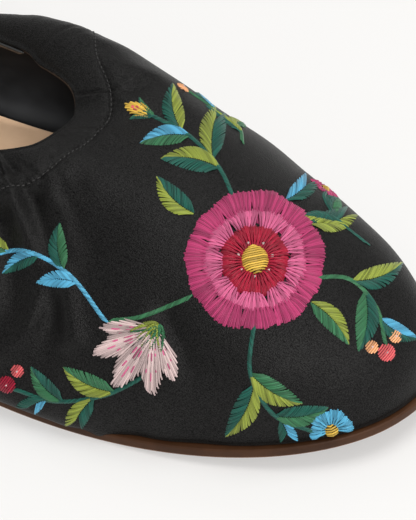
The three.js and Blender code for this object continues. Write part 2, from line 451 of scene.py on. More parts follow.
PLACES = section_places()
fine_v = np.linspace(1, 0, FINE)
fine_points = upper_points(*np.meshgrid(PLACES, fine_v))
fine_steps = np.linalg.norm(np.diff(fine_points, axis=0), axis=2)
fine_down = np.concatenate([np.zeros((1, SECTIONS)), np.cumsum(fine_steps, axis=0)])
DEPTH = fine_down[-1]  # cloth from collar to sole at each place


def at_down(down):
    """Points on the plain surface, at distances down from the collar for each place."""
    out = np.empty(down.shape + (3,))
    for i in range(SECTIONS):
        out[:, i] = sample(down[:, i], fine_down[:, i], fine_points[:, i])
    return out


def closed_gradient(points):
    return (np.roll(points, -1, axis=1) - np.roll(points, 1, axis=1)) / 2


def grid_normals(points):
    return unit(np.cross(closed_gradient(points), np.gradient(points, axis=0)))


def between(start, rise, fall, end):
    """1 between two places round the shoe, with a soft rise after the first and fall before the last."""
    return smooth((PLACES - start) / rise) * smooth((end - PLACES) / fall)


# Distances down from the collar of every row of the outer face
casing_rows = np.linspace(0, CASING_WIDTH + CASING_ROWS_END, CASING_STEPS)
seam_rows = CASING_WIDTH + np.linspace(*SEAM_REACH, SEAM_STEPS)
field_share = np.linspace(0, 1, OUTER_STEPS + 1)[1:]
# The casing widens beyond the throat on both sides. Its edge lies back where the binding runs.
# Ends and reaches are shares of the way round the shoe, the rest is in millimetres.
OUTER_WIDER_BY = 2.4
OUTER_WIDER = (0.09, 0.07, 0.15, 0.5)  # start, rise, fall, end
INNER_WIDER_BY = 10
INNER_WIDER_RISE = (0, 0.62, 0.14)
INNER_WIDER_AT = 0.775
INNER_WIDER_FALL = 0.036
BINDING_ENDS = (0.215, 0.778)
BINDING_ROOM = 1.6
ROOM_ENDS = (0.195, 0.02, 0.02, 0.798)  # start, rise, fall, end
past_widest = np.maximum(PLACES - INNER_WIDER_AT, 0)
widening = OUTER_WIDER_BY * between(*OUTER_WIDER)
widening += INNER_WIDER_BY * rising(PLACES, *INNER_WIDER_RISE) * bell(past_widest, INNER_WIDER_FALL)
room = BINDING_ROOM * between(*ROOM_ENDS)
# Rows as they would be with a casing equally wide all round, then as they are
even_top = np.repeat(np.concatenate([casing_rows, seam_rows])[:, None], SECTIONS, axis=1)
top_rows = even_top + room + widening * np.clip(even_top / CASING_WIDTH, 0, 1)
field_rows = top_rows[-1] + field_share[:, None] * (DEPTH - top_rows[-1])[None, :]
down_rows = np.concatenate([top_rows, field_rows])
even_rows = np.concatenate([even_top, field_rows - room - widening])
plain = at_down(down_rows)
plain_x = plain[..., 0]
plain_y = plain[..., 1]
plain_normals = grid_normals(plain)
inwards = -plain_normals[0]  # at the collar
downwards = unit(plain[1] - plain[0])
from_seam = even_rows - CASING_WIDTH
from_sole = DEPTH - down_rows
# Length along the seam from the throat, in millimetres, less than 0 on the inner side
seam_run = run_along(np.vstack([plain[CASING_STEPS], plain[CASING_STEPS, :1]]))
along_seam = np.where(seam_run > seam_run[-1] / 2, seam_run - seam_run[-1], seam_run)[:-1]
# Millimetres of cloth for a whole turn of u, at every point
turn_steps = (np.roll(PLACES, -1) - np.roll(PLACES, 1)) % 1 / 2
PER_TURN = np.linalg.norm(closed_gradient(plain), axis=2) / turn_steps


def ripple(x, waves):
    """Uneven ripples: waves are length, height and phase."""
    return sum(height * np.sin(2 * math.pi * x / length + phase) for length, height, phase in waves)


# Gathers in the casing, and where they run out into the cloth below it. Waves: length, height, phase
CASING_RIPPLES = ((3.3, 0.35, 0.4), (4.7, 0.4, 1.9), (7.9, 0.35, 4.1), (2.1, 0.15, 2.2))
FIELD_RIPPLES = ((5.3, 0.4, 0.9), (8.3, 0.5, 2.5), (12.7, 0.45, 0.3), (3.7, 0.2, 5.0))
PATCH_RIPPLES = ((17, 0.15, 0.2), (29, 0.15, 1.3))
PATCH_MIDDLE = 0.325
CASING_SLANT = 0.25
FIELD_SLANT = -0.2
GATHERS_AT = 6.5  # down from the collar
GATHERS_REACH = 3.6
RUN_OUT_RISE = 1.2  # below the seam
RUN_OUT_FALL = 16

# The casing's half-round tube, the stitched ditch at its seam and the puff below it
STITCH_REPEAT = 1.3
CASING_LIFT = 0.2
TUBE_HEIGHT = 0.5
TUBE_END = (0, -0.8, 0.9)
DITCH_DEPTH = 0.16  # between stitches, twice as deep at each
DITCH_WIDTH = 0.5
PUFF_HEIGHT = 0.3
PUFF_AT = 2.4  # below the seam
PUFF_WIDTH = 1.8

# Crumples round the seam. Columns: size and height
CRUMPLES = ((3.2, 0.75), (6.5, 1.3))
CRUMPLES_REACH = 11
CRUMPLES_END = 22  # below the seam
CRUMPLES_LEAST = 0.45
CRUMPLES_FROM_EDGE = (0, -0.5, 2.5)

# Slow unevenness: waves along and across the shoe, and how far from the seam and the sole it sets in
WANDER_ALONG = ((31, 0.16, 1.0), (19, 0.1, 2.0))
WANDER_ACROSS = ((23, 0.12, 0.5),)
WANDER_BELOW_SEAM = 10
WANDER_ABOVE_SOLE = 8

# Where the cloth is calmer. Columns: least share, start and reach in millimetres
TAUT_AT_THROAT = (0.35, 6, 30)  # rising along the seam
TAUT_AT_HEEL = (0.3, 20, 90)  # rising along X
TAUT_INSIDE = (0.2, 4, 8)  # falling along Y, as the next ones
CALM_INSIDE = (0.15, -5, 10)
FLAT_INSIDE = (0.3, 12, 8)
BARE_INSIDE = (0, 12, 8)
CALM_AT_HEEL = (0, -20, 150)  # rising along X

# Folds, listed one by one. u: place at the collar's seam. lean: u gained in 100 mm down.
# curl: u gained with the square of the way below CURL_START, in 100 mm. start, end: distances down.
# width and height in millimetres, a trough if height < 0.
CURL_START = 26
LEAN_OVER = 100
FOLD_ONSET = 3
FOLD_SPREAD = 0.3  # share of its width that a fold gains on its way down
FOLD_FADE_START = 0.35  # share of its way
FOLDS = (
    # u, lean, curl, start, end, width, height
    (0.1665, 0, 0.68, 6, 62, 2.9, 2.8),
    (0.185, 0, 0.4, 13, 54, 4.2, -1.7),
    (0.1545, 0.06, 0, 11, 62, 3, -2.3),
    (0.158, 0.035, 0, 28, 74, 2.8, 1.6),
    (0.166, 0, 0, 46, 80, 3, -1.2),
    (0.138, 0.06, 0, 9, 44, 3, 0.7),
    (0.125, 0.05, 0, 9, 40, 2.4, -0.5),
    (0.192, 0.01, 0, 9, 60, 3, 1.2),
    (0.204, 0, 0, 9, 54, 3, -1.2),
    (0.217, -0.005, 0, 9, 50, 3.6, 1),
    (0.233, 0, 0, 9, 42, 3.2, -0.8),
    (0.251, 0, 0, 9, 36, 3.4, 0.6),
    (0.912, -0.2, 0, 9, 30, 2.4, 0.6),
    (0.897, -0.45, 0, 9, 21, 1.4, -0.5),
    (0.889, -0.55, 0, 9, 20, 1.5, 0.7),
    (0.868, -0.1, 0, 9, 26, 2.4, -0.3),
    (0.845, 0, 0, 9, 30, 3, 0.3),
    (0.82, 0, 0, 9, 30, 3, -0.3),
    (0.76, 0, 0, 9, 28, 3.2, 0.3),
    (0.735, 0, 0, 9, 26, 3, -0.3),
    # Pleats across the casing
    (0.906, -0.19, 0, -1, 14, 0.5, -0.65),
    (0.913, -0.19, 0, -1, 14, 1.1, 0.35),
    (0.164, 0, 0, -1, 18, 0.9, 0.5),
    (0.16, 0, 0, -1, 11, 1.6, -0.6),
    (0.168, 0, 0, -1, 16, 0.5, -0.7),
    # Dents above the sole
    (0.118, 0.02, 0, 48, 84, 3, -0.8),
    (0.129, 0.02, 0, 44, 82, 3.4, 0.8),
    (0.142, 0.02, 0, 46, 80, 2.8, -0.7),
)

# Broad soft swellings. u and down: the middle. across and deep: reach in millimetres.
SWELLS = (
    # u, down, across, deep, height
    (0.905, 42, 26, 20, 0.7),
    (0.15, 60, 10, 9, 0.5),
    (0.045, 40, 18, 14, 0.3),
    (0.078, 85, 9, 6, -0.5),
    (0.12, 76, 6, 8, -0.6),
    (0.1, 70, 8, 9, 0.4),
)

# The lower outer edge, where the cloth sags over the sole: along X, in millimetres
SAG_START = 60
SAG_END = 196
SAG_RISE = 40
SAG_FALL = 9
SAG_OUTER_SIDE = (0, 12, 12)  # rising outwards across the shoe
SAG_OUT = 1.85
SAG_DOWN = 0.25
SAG_DOWN_REACH = 3  # above the sole
OUT_REACH = 9
SPILL_AT = 193
SPILL_REACH = 3.6
SPILL_OUT = 0.7
SPILL_DOWN = 1.7
SPILL_DOWN_REACH = 5


def fold_heights():
    """Sum of the folds' heights on the outer face."""
    total = np.zeros(down_rows.shape)
    for place, lean, curl, start, end, width, height in FOLDS:
        way = down_rows - start
        share = way / (end - start)
        bend = curl * (np.maximum(down_rows - CURL_START, 0) / LEAN_OVER) ** 2
        offset = (PLACES - place - lean * way / LEAN_OVER - bend + 0.5) % 1 - 0.5
        wide = width * (1 + FOLD_SPREAD * share).clip(1, 1 + FOLD_SPREAD)
        fade = smooth((share - FOLD_FADE_START) / (1 - FOLD_FADE_START))
        total += height * bell(offset * PER_TURN, wide) * smooth(way / FOLD_ONSET) * (1 - fade)
    for place, middle, across, deep, height in SWELLS:
        offset = ((PLACES - place + 0.5) % 1 - 0.5) * PER_TURN
        total += height * bell(offset, across) * bell(down_rows - middle, deep)
    return total


def sag():
    """How far the outer face moves out and down above the sole's outer edge."""
    outer_side = rising(-plain_y[-1], *SAG_OUTER_SIDE)
    reach = smooth((plain_x - SAG_START) / SAG_RISE) * smooth((SAG_END - plain_x) / SAG_FALL) * outer_side
    spill = bell(plain_x - SPILL_AT, SPILL_REACH) * outer_side
    out = (SAG_OUT * reach + SPILL_OUT * spill) * bell(from_sole, OUT_REACH)
    down = SPILL_DOWN * spill * bell(from_sole, SPILL_DOWN_REACH)
    down += SAG_DOWN * reach * bell(from_sole, SAG_DOWN_REACH)
    move = np.zeros(plain.shape)
    move[..., :2] = outwards(PLACES)[None] * out[..., None]
    move[..., 2] = -down
    return move


def crumple(size):
    """Soft irregular dents of the given size, down to a little below the seam."""
    values = np.zeros(down_rows.shape)
    near = from_seam < CRUMPLES_END
    values[near] = [noise.noise(Vector(place)) for place in plain[near] / size]
    return values


def crumple_heights(looseness):
    """Crumples round the seam, calm at the heel and on the inner side."""
    near_seam = bell(from_seam, CRUMPLES_REACH) * (CRUMPLES_LEAST + (1 - CRUMPLES_LEAST) * looseness)
    calm = falling(plain_y, *CALM_INSIDE) * rising(plain_x, *CALM_AT_HEEL)
    dents = sum(height * crumple(size) for size, height in CRUMPLES)
    return dents * near_seam * rising(even_rows, *CRUMPLES_FROM_EDGE) * calm


def casing_heights():
    """The casing's tube, its stitched ditch and the puff below."""
    half = CASING_WIDTH / 2
    tube = np.sqrt(np.clip(1 - ((even_rows - half) / half) ** 2, 0, 1))
    casing = (CASING_LIFT + TUBE_HEIGHT * tube) * falling(from_seam, *TUBE_END)
    stitch_pull = 0.5 + 0.5 * np.cos(2 * math.pi * along_seam / STITCH_REPEAT)
    ditch = DITCH_DEPTH * (1 + stitch_pull) * bell(from_seam, DITCH_WIDTH)
    puff = PUFF_HEIGHT * bell(from_seam - PUFF_AT, PUFF_WIDTH) * (from_seam > 0)
    return (casing - ditch) * falling(plain_y, *FLAT_INSIDE) + puff * falling(plain_y, *BARE_INSIDE)


def gather_heights(looseness):
    """The elastic's gathers in the casing, which run out into the cloth below it."""
    patches = PATCH_MIDDLE + ripple(along_seam, PATCH_RIPPLES)
    casing = ripple(along_seam + CASING_SLANT * even_rows, CASING_RIPPLES)
    casing *= bell(even_rows - GATHERS_AT, GATHERS_REACH)
    field = ripple(along_seam + FIELD_SLANT * even_rows, FIELD_RIPPLES)
    field *= smooth(from_seam / RUN_OUT_RISE) * (1 - smooth(from_seam / RUN_OUT_FALL))
    return (casing + field) * looseness * patches


def wander_heights():
    """Slow unevenness of the cloth."""
    waves = ripple(plain_x, WANDER_ALONG) + ripple(plain_y, WANDER_ACROSS)
    return waves * smooth(from_seam / WANDER_BELOW_SEAM) * smooth(from_sole / WANDER_ABOVE_SOLE)


def outer_heights():
    """How far every point of the outer face stands off the plain surface."""
    looseness = rising(np.abs(along_seam), *TAUT_AT_THROAT) * rising(plain_x, *TAUT_AT_HEEL)
    looseness *= falling(plain_y, *TAUT_INSIDE)
    relief = crumple_heights(looseness) + casing_heights() + gather_heights(looseness)
    return relief + fold_heights() + wander_heights()


HEM_IN = 0.35  # the hem's ring lies inside the satin's lower edge, this far in
HEM_LIFT = 0.02
LINING_END = 2.0  # above the sole
ROLL_FLATNESS = 0.8


def make_upper():
    """The shell of satin and lining. Gives back the points of its outer face."""
    outer = plain + plain_normals * outer_heights()[..., None] + sag()
    # The cloth rolls over the collar in half a circle and its cut end lies inside
    radius = (CASING_STEP + WALL) / 2
    middle = (CASING_STEP - WALL) / 2
    roll = []
    for i in range(1, ROLL_STEPS + 1):
        angle = math.pi * i / (ROLL_STEPS + 1)
        out = middle + radius * math.cos(angle)
        rise = ROLL_FLATNESS * radius * math.sin(angle)
        roll.append(plain[0] - inwards * out - downwards * rise)
    inner_down = room + np.linspace(0, 1, INNER_STEPS)[:, None] * (DEPTH - LINING_END - room)
    inner_plain = at_down(inner_down)
    inner = inner_plain - grid_normals(inner_plain) * WALL
    inside = SOLE_THICKNESS + GAP + MARGIN_THICKNESS
    hem = outer[-1].copy()
    hem[:, :2] -= outwards(PLACES) * HEM_IN
    hem[:, 2] = plain[-1, :, 2] + HEM_LIFT
    margin = ((WALL, inside), (MARGIN_WIDTH, inside), (MARGIN_WIDTH, SOLE_THICKNESS + GAP))
    bottom = [beside_edge(PLACES, SOLE_RIM + inset, height) for inset, height in margin]
    rings = [hem, *outer[::-1], *roll, *inner, *bottom]
    faces = grid_faces(len(rings), SECTIONS, close_rows=True)
    obj = new_object("upper_satin", np.concatenate(rings), faces, satin, lining)
    first_lining = (len(outer) + ROLL_STEPS + 2) * SECTIONS  # the satin ends at the lining's second ring
    second_material(obj, slice(first_lining, None))
    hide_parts("upper")
    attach(obj, "root")
    return outer


outer_face = make_upper()


# Sewing round the collar

THREAD_SECTION = ((-1, 0), (-0.75, 0.7), (0, 1), (0.75, 0.7), (1, 0))  # shares of half width and height
STITCH_LENGTH = 0.75
STITCH_RINGS = 6
STITCH_HALF_WIDTH = 0.13
STITCH_HEIGHT = 0.16
STITCH_SUNK = 0.1  # at its ends
STITCH_ARCH = 0.18
SEAM_ROW = CASING_STEPS + 2

# The lining's cut edge leans out of the lining, past the rolled satin and past the binding
CUT_IN = 1.15
CUT_DOWN = 0.28
CUT_RISE = 0.74
CUT_RISE_MORE = 0.5  # where it is bound
CUT_LEAN = 0.55
CUT_ACROSS = 0.09
CUT_BACK = 0.07
BOUND_REACH = 0.004  # share of the way round
BINDING_IN = 0.5
BINDING_UP = 1.42
BINDING_HALF_WIDTH = 0.8
BINDING_HALF_HEIGHT = 0.6
BINDING_TAPER = 4  # sections


def ribbons(name, threads, material):
    """One object of half-round threads: for each its middle line, half widths and height."""
    points = []
    faces = []
    first = 0
    for middle, side, rise in threads:
        rings = np.stack([middle + a * side + b * rise for a, b in THREAD_SECTION], 1).reshape(-1, 3)
        strip = grid_faces(len(middle), len(THREAD_SECTION), close_columns=False)
        points.append(rings)
        faces.extend((strip + first).tolist())
        first += len(rings)
    obj = new_object(name, np.concatenate(points), faces, material)
    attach(obj, "root")
    return obj


def tube_along(name, middle, across, up, material, closed=True):
    """An oval tube along a line of the collar, across and up giving its half axes."""
    oval = [(math.cos(a), math.sin(a)) for a in np.arange(8) * math.pi / 4]
    rings = np.stack([middle + a * across + b * up for a, b in oval], 1)
    faces = grid_faces(len(middle), len(oval), close_rows=closed).tolist()
    if not closed:
        last = (len(middle) - 1) * len(oval)
        faces.append(list(range(len(oval))))
        faces.append(list(range(last, last + len(oval)))[::-1])
    obj = new_object(name, rings.reshape(-1, 3), faces, material)
    face_up(obj)
    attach(obj, "root")


def make_seam_stitches():
    line = outer_face[SEAM_ROW]
    normal = grid_normals(outer_face)[SEAM_ROW]
    run = run_along(line)
    t = np.linspace(0, 1, STITCH_RINGS)
    arch = (STITCH_ARCH * np.sin(math.pi * t) - STITCH_SUNK)[:, None]
    threads = []
    for begin in np.arange(0, run[-1] - STITCH_REPEAT, STITCH_REPEAT):
        place = sample(begin + t * STITCH_LENGTH, run, line)
        out = unit(sample(begin + t * STITCH_LENGTH, run, normal))
        side = unit(np.cross(unit(np.gradient(place, axis=0)), out))
        threads.append((place + out * arch, side * STITCH_HALF_WIDTH, out * STITCH_HEIGHT))
    material, *_ = new_material("seam_thread", Base_Color=(0.024, 0.0235, 0.023, 1), Roughness=0.45)
    ribbons("collar_stitches", threads, material)


def make_cut_edge():
    """The lining's cut edge just inside the collar."""
    bound = between(BINDING_ENDS[0], BOUND_REACH, BOUND_REACH, BINDING_ENDS[1])
    rise = (CUT_RISE + CUT_RISE_MORE * bound)[:, None]
    middle = plain[0] + inwards * CUT_IN + downwards * (CUT_DOWN - rise)
    across = -inwards * CUT_LEAN - downwards * rise
    up = inwards * CUT_ACROSS - downwards * CUT_BACK
    material, *_ = new_material("cut_edge", Base_Color=(0.07, 0.038, 0.021, 1), Roughness=0.7)
    tube_along("lining_cut_edge", middle, across, up, material)


def make_binding():
    """The piped binding round the back of the collar."""
    behind = (PLACES > BINDING_ENDS[0]) & (PLACES < BINDING_ENDS[1])
    middle = (plain[0] + inwards * BINDING_IN - downwards * BINDING_UP)[behind]
    order = np.arange(len(middle))
    taper = np.sqrt(smooth((np.minimum(order, order[::-1]) + 0.5) / BINDING_TAPER))[:, None]
    across = inwards[behind] * BINDING_HALF_WIDTH * taper
    up = downwards[behind] * BINDING_HALF_HEIGHT * taper
    material, *_ = new_material(
        "binding", Base_Color=(0.01, 0.01, 0.01, 1), Roughness=0.3, Specular_IOR_Level=0.8,
    )
    tube_along("rear_binding", middle, across, up, material, closed=False)


make_seam_stitches()
make_cut_edge()
make_binding()


# Plates that follow the sole's outline

OUTLINE_POINTS = 440
SOLE_ARRIS = 0.45
FOOTBED_ARRIS = 0.5
ARRIS_STEPS = 5


def plate(name, loops, *materials):
    """Outline loops (inset, height) from underside to top, with ruled strips closing both ends."""
    count = OUTLINE_POINTS
    u = np.arange(count) / count
    points = np.concatenate([beside_edge(u, inset, height) for inset, height in loops])
    faces = grid_faces(len(loops), count).tolist()
    top = (len(loops) - 1) * count
    for i in range(count // 2):
        across = (count - i) % count
        across_next = count - i - 1
        ring = list(dict.fromkeys([i, i + 1, across_next, across]))
        faces.append(ring[::-1])
        faces.append([top + j for j in ring])
    obj = new_object(name, points, faces, *materials)
    face_up(obj)
    return obj


def rounded(inset, low, high, radius):
    """Loops up a side with both arrises rounded."""
    angles = [math.pi / 2 * i / ARRIS_STEPS for i in range(ARRIS_STEPS + 1)]
    lower = [(inset + radius * (1 - math.sin(a)), low + radius * (1 - math.cos(a))) for a in angles]
    upper = [(inset + radius * (1 - math.cos(a)), high - radius * (1 - math.sin(a))) for a in angles]
    return lower + upper


def make_sole():
    """The outsole, with its lower arris in a lighter brown."""
    loops = rounded(0, 0, SOLE_THICKNESS, SOLE_ARRIS)
    obj = plate("outsole_leather", loops, sole_leather, sole_arris)
    second_material(obj, slice(ARRIS_STEPS * OUTLINE_POINTS))
    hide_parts("outsole")
    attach(obj, "root")


def make_footbed():
    low = SOLE_THICKNESS + GAP
    shelf = low + MARGIN_THICKNESS + GAP
    top = shelf + FOOTBED_THICKNESS
    middle = SOLE_RIM + MARGIN_WIDTH + FOOTBED_CLEARANCE
    edge = SOLE_RIM + WALL + FOOTBED_CLEARANCE
    loops = [(middle, low), (middle, shelf)] + rounded(edge, shelf, top, FOOTBED_ARRIS)
    obj = plate("footbed_leather", loops, footbed_leather)
    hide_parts("footbed")
    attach(obj, "root")


make_sole()
make_footbed()
heel_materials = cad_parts["heel"].data.materials
heel_materials.clear()
heel_materials.append(heel_leather)


# Embroidery: glossy threads laid stitch by stitch on the cloth

THREAD_WIDTH = 0.42
THREAD_HEIGHT = 0.2
PITCH = 0.45
STITCH_STEP = 0.9
SHORTEST_STITCH = 0.4
HOLE_DEPTH = 0.12
HOLE_REACH = 0.8  # from its hole to where a thread is fully up
ARCH_SHARE = 0.06  # of its length that a thread stands off the cloth
ARCH_MOST = 0.22
TEAL, LIME, GREEN, SKY = "teal", "lime", "green", "sky"
THREADS = {
    "magenta": (0.38, 0.035, 0.125),
    "rose": (0.52, 0.1, 0.22),
    "crimson": (0.31, 0.005, 0.028),
    "coral": (0.62, 0.1, 0.11),
    "pale": (0.56, 0.43, 0.42),
    "peach": (0.75, 0.36, 0.17),
    "mustard": (0.62, 0.4, 0.06),
    LIME: (0.23, 0.28, 0.04),
    GREEN: (0.03, 0.14, 0.06),
    TEAL: (0.006, 0.08, 0.058),
    SKY: (0.08, 0.34, 0.52),
}
LEAF_GROWTH = 1.35
LEAF_SLANT = 0.2  # share of the leaf's length
LEAF_ANGLE = 0.85  # between a stem and its leaves
LEAF_BEND = 0.12
STEM_WIDTH = 0.75
PETAL_DENSITY = 1.25
PETAL_FOOT = 0.16  # share of its width at its foot
PETAL_STARTS = (0.0, 0.42, 0.2)  # shares of its length, in turn
stitches = {name: [] for name in THREADS}

cloth_faces = grid_faces(len(outer_face), SECTIONS).tolist()
cloth = BVHTree.FromPolygons(outer_face.reshape(-1, 3).tolist(), cloth_faces)


class Sheet:
    """A flat drawing plane in millimetres that faces the cloth at a point of it."""

    WITHIN = Vector((150, 0, 10))  # a place inside the shoe
    ABOVE = 60  # from the plane's point to where rays start
    RAY = 90

    def __init__(self, aim, facing=None):
        if facing is None:
            near, normal, *_ = cloth.find_nearest(Vector(aim))
            aim = near
            facing = normal if normal.dot(near - self.WITHIN) > 0 else -normal
        self.aim = np.array(aim, float)
        self.facing = unit(np.array(facing, float))
        self.right = unit(np.cross((0, 0, 1), self.facing))
        self.up = np.cross(self.facing, self.right)

    def onto_cloth(self, flat):
        """Points of the cloth under flat points, or None past its edge."""
        found = []
        for a, b in flat:
            start = self.aim + a * self.right + b * self.up + self.facing * self.ABOVE
            place, normal, *_ = cloth.ray_cast(Vector(start), Vector(-self.facing), self.RAY)
            if place is None:
                return None
            found.append((place, normal if normal.dot(Vector(self.facing)) > 0 else -normal))
        return np.array([f[0] for f in found]), np.array([f[1] for f in found])


def heading(angle):
    return np.array([math.cos(angle), math.sin(angle)])


def left_of(direction):
    return np.array([-direction[1], direction[0]])


def stitch(sheet, color, start, end, lift=0.0, width=THREAD_WIDTH):
    """One thread from hole to hole, rising out of the cloth and back into it."""
    length = np.linalg.norm(end - start)
    if length < SHORTEST_STITCH:
        return
    steps = max(4, int(math.ceil(length / STITCH_STEP)))
    t = (1 - np.cos(np.linspace(0, math.pi, steps + 1))) / 2
    laid = sheet.onto_cloth(start + (end - start) * t[:, None])
    if laid is None:
        return
    points, normals = laid
    normal = unit(normals.mean(axis=0))
    from_end = np.minimum(t, 1 - t) * length
    top = lift + min(ARCH_MOST, length * ARCH_SHARE)
    height = (HOLE_DEPTH + top) * smooth(from_end / HOLE_REACH) - HOLE_DEPTH
    side = unit(np.cross(unit(np.gradient(points, axis=0)), normal))
    middle = points + normal * height[:, None]
    stitches[color].append((middle, side * width / 2, normal * THREAD_HEIGHT, random.random()))


def curve_through(points, step):
    """Smooth curve through points, with its directions, at even steps."""
    points = np.array(points, float)
    ends = np.vstack([2 * points[0] - points[1], points, 2 * points[-1] - points[-2]])
    t = np.linspace(0, 1, 24, endpoint=False)[:, None]
    fine = np.concatenate([
        0.5 * (2 * b + (c - a) * t + (2 * a - 5 * b + 4 * c - d) * t * t + (3 * b - 3 * c + d - a) * t ** 3)
        for a, b, c, d in zip(ends, ends[1:], ends[2:], ends[3:])
    ] + [points[-1:]])
    run = run_along(fine)
    places = sample(np.arange(0, run[-1], step), run, fine)
    return places, unit(np.gradient(places, axis=0))


def stem(sheet, color, points):
    """Rope of short slanted stitches along a curve."""
    places, directions = curve_through(points, PITCH * 0.95)
    for place, direction in zip(places, directions):
        reach = left_of(direction) * STEM_WIDTH / 2 + direction * (0.75 + 0.2 * random.random())
        stitch(sheet, color, place - reach, place + reach)


def leaf(sheet, base, tip, bend, width, left, right, lift=0.0):
    """Lens leaf: slanted stitches from the midrib to both edges, a colour a side."""
    along = np.subtract(tip, base)
    length = np.linalg.norm(along)
    side = left_of(along) / length

    def at(t):
        return base + along * t + side * bend * 4 * t * (1 - t)

    count = int(length / PITCH)
    for sign, color in ((1, left), (-1, right)):
        for i in range(count):
            t = (i + 0.3 * random.random()) / count
            edge = min(t + LEAF_SLANT + 0.03 * random.random(), 1)
            half = width / 2 * math.sin(math.pi * edge ** 0.85) ** 0.8 if edge < 1 else 0
            stitch(sheet, color, at(t) + side * sign * 0.08, at(edge) + side * sign * half, lift)


def petal(sheet, color, base, tip, width, lift, point, ragged=0.5):
    """Petal filled with long and short stitches that spread from its foot. Point: its sides' setback."""
    along = np.subtract(tip, base)
    length = np.linalg.norm(along)
    side = left_of(along) / length
    count = int(width / PITCH * PETAL_DENSITY)
    for i in range(count):
        across = 2 * (i + 0.5) / count - 1
        reach = 1 - point * abs(across) ** 1.6
        end = base + along * reach + side * across * width / 2
        end += along / length * ragged * (random.random() - 0.6)
        foot = base + side * across * width * PETAL_FOOT
        begin = PETAL_STARTS[i % 3] + 0.06 * random.random()
        stitch(sheet, color, foot + (end - foot) * begin, end, lift + 0.05 * (i % 3))


def ring_of_petals(sheet, color, place, count, inner, outer, fill, turn, lift, point):
    for i in range(count):
        direction = heading(turn + 2 * math.pi * i / count)
        width = 2 * math.pi * outer / count * fill
        reach = outer * (1 + 0.05 * (random.random() - 0.5))
        petal(sheet, color, place + direction * inner, place + direction * reach, width, lift, point)


def disc(sheet, color, place, radius, turn, lift):
    """Round spot of even stitches."""
    direction = heading(turn)
    count = int(2 * radius / PITCH)
    for i in range(count):
        across = radius * (2 * (i + 0.5) / count - 1)
        half = math.sqrt(max(radius ** 2 - across ** 2, 0.04))
        middle = place + left_of(direction) * across
        stitch(sheet, color, middle - direction * half, middle + direction * half, lift)


def knot(sheet, color, place, lift):
    """Three short threads crossed over one another."""
    for i in range(3):
        reach = heading(math.pi * i / 3) * 0.55
        stitch(sheet, color, place - reach, place + reach, lift + 0.1 * i, 0.5)


def zinnia(sheet, place, size, turn):
    """Large round flower of three rings round a knotted disc."""
    # Columns: colour, petals, inner and outer radius, fill, turn, lift, point
    for color, count, inner, outer, fill, more, lift, point in (
        ("magenta", 11, 0.5, 1, 1.02, 0, 0.0, 0.16),
        ("rose", 9, 0.4, 0.74, 1.0, 0.25, 0.28, 0.2),
        ("crimson", 8, 0.16, 0.52, 1.05, 0.1, 0.5, 0.25),
    ):
        ring_of_petals(sheet, color, place, count, size * inner, size * outer, fill, turn + more, lift, point)
    disc(sheet, "mustard", place, size * 0.2, turn, 0.75)
    for i in range(7):
        knot(sheet, "pale", place + heading(turn + 2 * math.pi * i / 7) * size * 0.245, 0.9)
    knot(sheet, "pale", place, 0.95)


def bloom(sheet, place, size, turn):
    """Pale bell flower seen from the side, with coloured veins, in a leafy cup."""
    # Columns: turn, length, width
    shares = ((-1.0, 0.8, 0.34), (1.0, 0.8, 0.34), (-0.58, 0.97, 0.4), (0.58, 0.97, 0.4), (0, 1.06, 0.46))
    for i, (angle, reach, width) in enumerate(shares):
        direction = heading(turn + angle)
        petal(sheet, "pale", place + direction * 0.5, place + direction * size * reach, size * width,
              0.14 * i, 0.45, 1.1)
        for part in (-1, 0, 1):
            side = left_of(direction) * part
            start = place + direction * size * 0.24 + side * 0.5
            end = place + direction * size * reach * (0.72 if part else 0.84) + side * size * width * 0.2
            middle = (start + end) / 2
            stitch(sheet, "rose", start, middle, 0.14 * i + 0.2, 0.36)
            stitch(sheet, "rose", middle, end, 0.14 * i + 0.2, 0.36)
    back = heading(turn)
    foot = place - back * size * 0.12
    for share in (-0.8, 0.8, -0.35, 0.35, 0):
        tip = place + back * size * (0.32 - 0.12 * abs(share)) + left_of(back) * share * size * 0.36
        leaf(sheet, foot, tip, 0, size * 0.15, GREEN, LIME, 0.8)


def daisy(sheet, color, place, size, turn):
    """Small flower of six petals round a mustard disc."""
    ring_of_petals(sheet, color, place, 6, size * 0.25, size, 0.86, turn, 0.05, 0.3)
    disc(sheet, "mustard", place, size * 0.3, turn, 0.4)


def berry(sheet, color, place, radius):
    disc(sheet, color, place, radius, 0.9, 0.1)
    knot(sheet, "pale", place, 0.35)


def bud(sheet, color, tip_color, place, size, turn):
    """Pointed bud in a two-leaf cup."""
    direction = heading(turn)
    side = left_of(direction)
    petal(sheet, color, place, place + direction * size, size * 0.62, 0.1, 0.5)
    heart = place + direction * size * 0.35
    petal(sheet, tip_color, heart, place + direction * size * 0.92, size * 0.24, 0.35, 0.5)
    for sign in (1, -1):
        tip = place + direction * size * 0.62 + side * sign * size * 0.42
        leaf(sheet, place - direction * size * 0.1, tip, -sign * 0.6, size * 0.28, TEAL, GREEN, 0.3)


def sprig(sheet, points, color, leaves):
    """Stem with leaves. Columns: share along the stem, length (less than 0 to the right), width, colours."""
    stem(sheet, color, points)
    places, directions = curve_through(points, 0.25)
    for share, length, width, left, right in leaves:
        i = int(share * (len(places) - 1))
        angle = math.atan2(directions[i][1], directions[i][0]) + math.copysign(LEAF_ANGLE, length)
        tip = places[i] + heading(angle) * abs(length) * LEAF_GROWTH
        leaf(sheet, places[i], tip, -length * LEAF_BEND, width * LEAF_GROWTH, left, right, 0.05)


